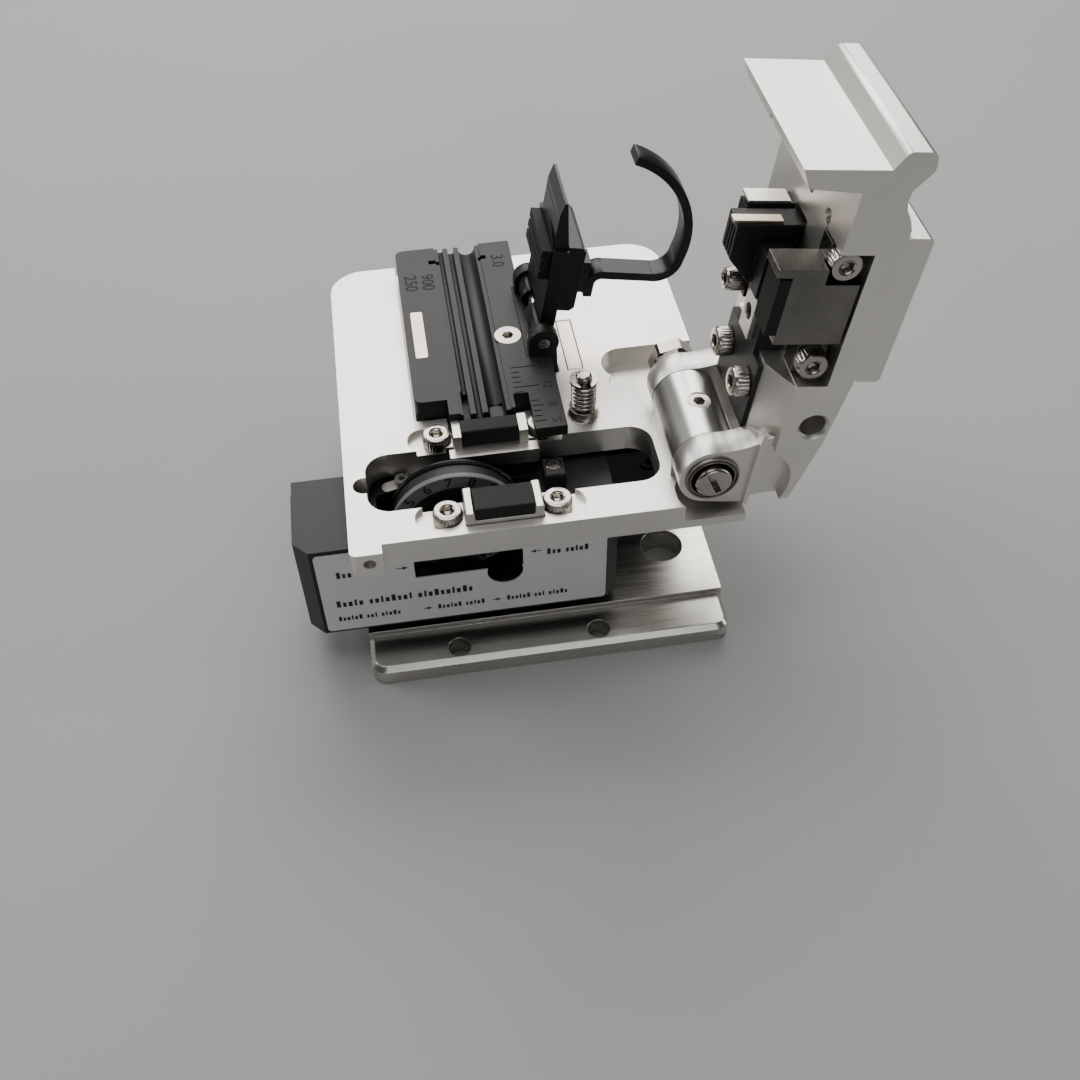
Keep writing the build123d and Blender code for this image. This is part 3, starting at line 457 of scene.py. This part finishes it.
turns = ACTIVE_TURNS + 2 * FLAT_TURNS
steps = round(turns * STEPS_A_TURN)
coil = []
for step in range(steps + 1):
    turn = turns * step / steps
    angle = math.tau * turn
    coil.append(Vector((LATCH[0] + SPRING_R * math.cos(angle), LATCH[1] + SPRING_R * math.sin(angle),
                        spring_height(turn))))
bm = bmesh.new()
wire(bm, PLATE, coil, WIRE_R, WIRE_SIDES)
spring = piece("latch_coil_spring", bm, "spring_wire", "base", ("latch_spring",), sharp=80.0)
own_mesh(spring)

# ------------------------------------------------------------------ engraved figures on the fibre holder
HOLDER_TOP = 3.0
CHANNEL_SIZE, RULER_SIZE = 2.55, 1.75
CLOCKWISE = Matrix.Rotation(-math.pi / 2, 4, "Z")
HOLDER_FIGURES = (
    ("250", CHANNEL_SIZE, 11.85, 47.6), ("900", CHANNEL_SIZE, 14.3, 47.5),
    ("3.0", CHANNEL_SIZE, 25.05, 51.0),
    ("16", RULER_SIZE, 28.15, 26.3), ("12", RULER_SIZE, 28.05, 22.4), ("8", RULER_SIZE, 28.1, 18.4),
    ("5", RULER_SIZE, 28.15, 15.3),
)
bm = bmesh.new()
for text, size, x, y in HOLDER_FIGURES:
    numeral(bm, text, size, PLATE @ Matrix.Translation((x, y, HOLDER_TOP)) @ CLOCKWISE)
piece("holder_figures", bm, "engraving", "base")

# ------------------------------------------------------------------ figures round the blade dial
DIAL_FACE_Y = 7.7
DIAL_POSITIONS = 16
DIAL_FIGURE_R = 7.55
TOP_NUMBER, TOP_ANGLE = 7, math.radians(95.0)
bm = bmesh.new()
for number in range(1, DIAL_POSITIONS + 1):
    angle = TOP_ANGLE - (number - TOP_NUMBER) * math.tau / DIAL_POSITIONS
    c, s = math.cos(angle), math.sin(angle)
    upright = Matrix(((s, c, 0, BLADE_AXIS[0] + DIAL_FIGURE_R * c), (0, 0, -1, DIAL_FACE_Y),
                      (-c, s, 0, BLADE_AXIS[1] + DIAL_FIGURE_R * s), (0, 0, 0, 1)))
    size = 2.05 if number < 10 else 1.6
    numeral(bm, str(number), size, PLATE @ upright, boldness=0.02)
piece("dial_figures", bm, "ink", "blade")

# ------------------------------------------------------------------ printed marks on the carriage label
LABEL_Y = 3.85
PRINT_DEPTH = 0.02
LETTER_WIDTHS = (0.40, 0.32, 0.38, 0.22, 0.38)      # shares of the letter height
LETTER_HEIGHTS = (0.95, 0.66, 0.66, 0.92, 0.66)
LETTER_GAP, WORD_GAP = 0.22, 0.42


def greeked_word(bm, x, z, letters, height, start):
    """Blocks that stand for the letters of a word. Returns where the word ends."""
    for i in range(letters):
        k = (start + i) % len(LETTER_WIDTHS)
        width = LETTER_WIDTHS[k] * height
        top = LETTER_HEIGHTS[k] * height
        block(bm, PLATE, (x, LABEL_Y - PRINT_DEPTH, z), (x + width, LABEL_Y, z + top))
        x += width + LETTER_GAP * height
    return x


def greeked_line(bm, x, z, words, height):
    """A row of words, each given by its number of letters."""
    for start, letters in enumerate(words):
        x = greeked_word(bm, x, z, letters, height, start) + WORD_GAP * height


ARROW_HEAD = 0.7
ARROW_SLOPE = 0.42                       # half the head's width over its length
ARROW_LINE = 0.06


def arrow(bm, tip, z, length):
    """A small arrow whose head is at tip; a negative length puts the tail to its left."""
    neck = tip + math.copysign(ARROW_HEAD, length)
    wing = ARROW_HEAD * ARROW_SLOPE
    prism(bm, PLATE, [(tip, z), (neck, z + wing), (neck, z - wing)], LABEL_Y - PRINT_DEPTH, LABEL_Y)
    low, high = sorted((neck, tip + length))
    block(bm, PLATE, (low, LABEL_Y - PRINT_DEPTH, z - ARROW_LINE), (high, LABEL_Y, z + ARROW_LINE))


# x, z, letters in each word, letter height
PRINT_LINES = (
    (-2.6, -9.8, (3, 5), 1.25), (25.0, -10.1, (3, 5), 1.15), (-3.3, -15.6, (5, 8, 10), 1.35),
    (-3.4, -18.5, (6, 3, 5), 0.98), (10.0, -18.5, (6, 5), 0.98), (19.4, -18.5, (6, 3, 5), 0.98),
)
# tip x, z, length
ARROWS = ((6.7, -9.3, -1.5), (22.8, -9.2, 1.5), (9.2, -18.1, -1.2), (18.6, -18.1, -1.2))
bm = bmesh.new()
for x, z, words, height in PRINT_LINES:
    greeked_line(bm, x, z, words, height)
for tip, z, length in ARROWS:
    arrow(bm, tip, z, length)
piece("label_print", bm, "ink", "carriage")

# ------------------------------------------------------------------ floor, light and camera
FLOOR_SIZE = 3.0


def floor_material():
    """Plain pale paper."""
    n = Nodes("floor_paper")
    n.constants(Metallic=0.0, Specular_IOR_Level=0.15)
    base = n.blend(n.spread(n.noise(6.0, 3.0), 0.0, 1.0), (0.40, 0.398, 0.392), (0.375, 0.373, 0.367))
    n.link(base, n.shader.inputs["Base Color"])
    n.link(n.spread(n.noise(40.0, 2.0), 0.75, 0.85), n.shader.inputs["Roughness"])
    return n.material


floor_mesh = bpy.data.meshes.new("floor")
half = FLOOR_SIZE / 2
floor_corners = [(-half, -half, 0), (half, -half, 0), (half, half, 0), (-half, half, 0)]
floor_mesh.from_pydata(floor_corners, [], [(0, 1, 2, 3)])
floor = bpy.data.objects.new("floor", floor_mesh)
floor_mesh.materials.append(floor_material())
bpy.context.scene.collection.objects.link(floor)


def area_light(name, place, aim, size, watts, colour=(1.0, 1.0, 1.0)):
    data = bpy.data.lights.new(name, "AREA")
    data.shape = "RECTANGLE"
    data.size, data.size_y = size
    data.energy = watts
    data.color = colour
    lamp = bpy.data.objects.new(name, data)
    lamp.location = place
    lamp.rotation_mode = "QUATERNION"
    lamp.rotation_quaternion = (Vector(aim) - Vector(place)).to_track_quat("-Z", "Y")
    bpy.context.scene.collection.objects.link(lamp)


CENTRE = (0.0, 0.0, 0.035)
area_light("key_behind", (0.05, 0.38, 0.36), CENTRE, (0.56, 0.34), 3.0, (1.0, 0.985, 0.955))
area_light("overhead", (-0.06, 0.04, 0.50), CENTRE, (0.36, 0.30), 1.1, (1.0, 0.99, 0.97))
area_light("back_left", (-0.42, 0.20, 0.30), CENTRE, (0.16, 0.28), 0.8, (1.0, 0.99, 0.97))
area_light("front_fill", (0.06, -0.52, 0.24), CENTRE, (0.30, 0.20), 0.42, (0.95, 0.975, 1.0))
area_light("right_strip", (0.46, -0.06, 0.20), CENTRE, (0.08, 0.34), 0.4)

world = bpy.data.worlds.new("studio")
world.use_nodes = True
world.node_tree.nodes["Background"].inputs["Color"].default_value = (0.62, 0.64, 0.66, 1.0)
world.node_tree.nodes["Background"].inputs["Strength"].default_value = 0.10
bpy.context.scene.world = world

CAMERA_PLACE = at(9.379, -102.468, 113.105)
CAMERA_RIGHT = Vector((0.988113, -0.153039, -0.014565))
CAMERA_UP = Vector((0.123791, 0.735915, 0.665661))
camera_data = bpy.data.cameras.new("camera")
camera_data.lens = 41.39
camera_data.sensor_width = 36.0
camera_data.clip_start = 0.01
camera_data.clip_end = 20.0
camera = bpy.data.objects.new("camera", camera_data)
camera_axes = Matrix.Identity(3)
camera_axes.col[0] = CAMERA_RIGHT
camera_axes.col[1] = CAMERA_UP
camera_axes.col[2] = CAMERA_RIGHT.cross(CAMERA_UP)
camera.rotation_mode = "QUATERNION"
camera.rotation_quaternion = camera_axes.to_quaternion()
camera.location = CAMERA_PLACE
bpy.context.scene.collection.objects.link(camera)
bpy.context.scene.camera = camera
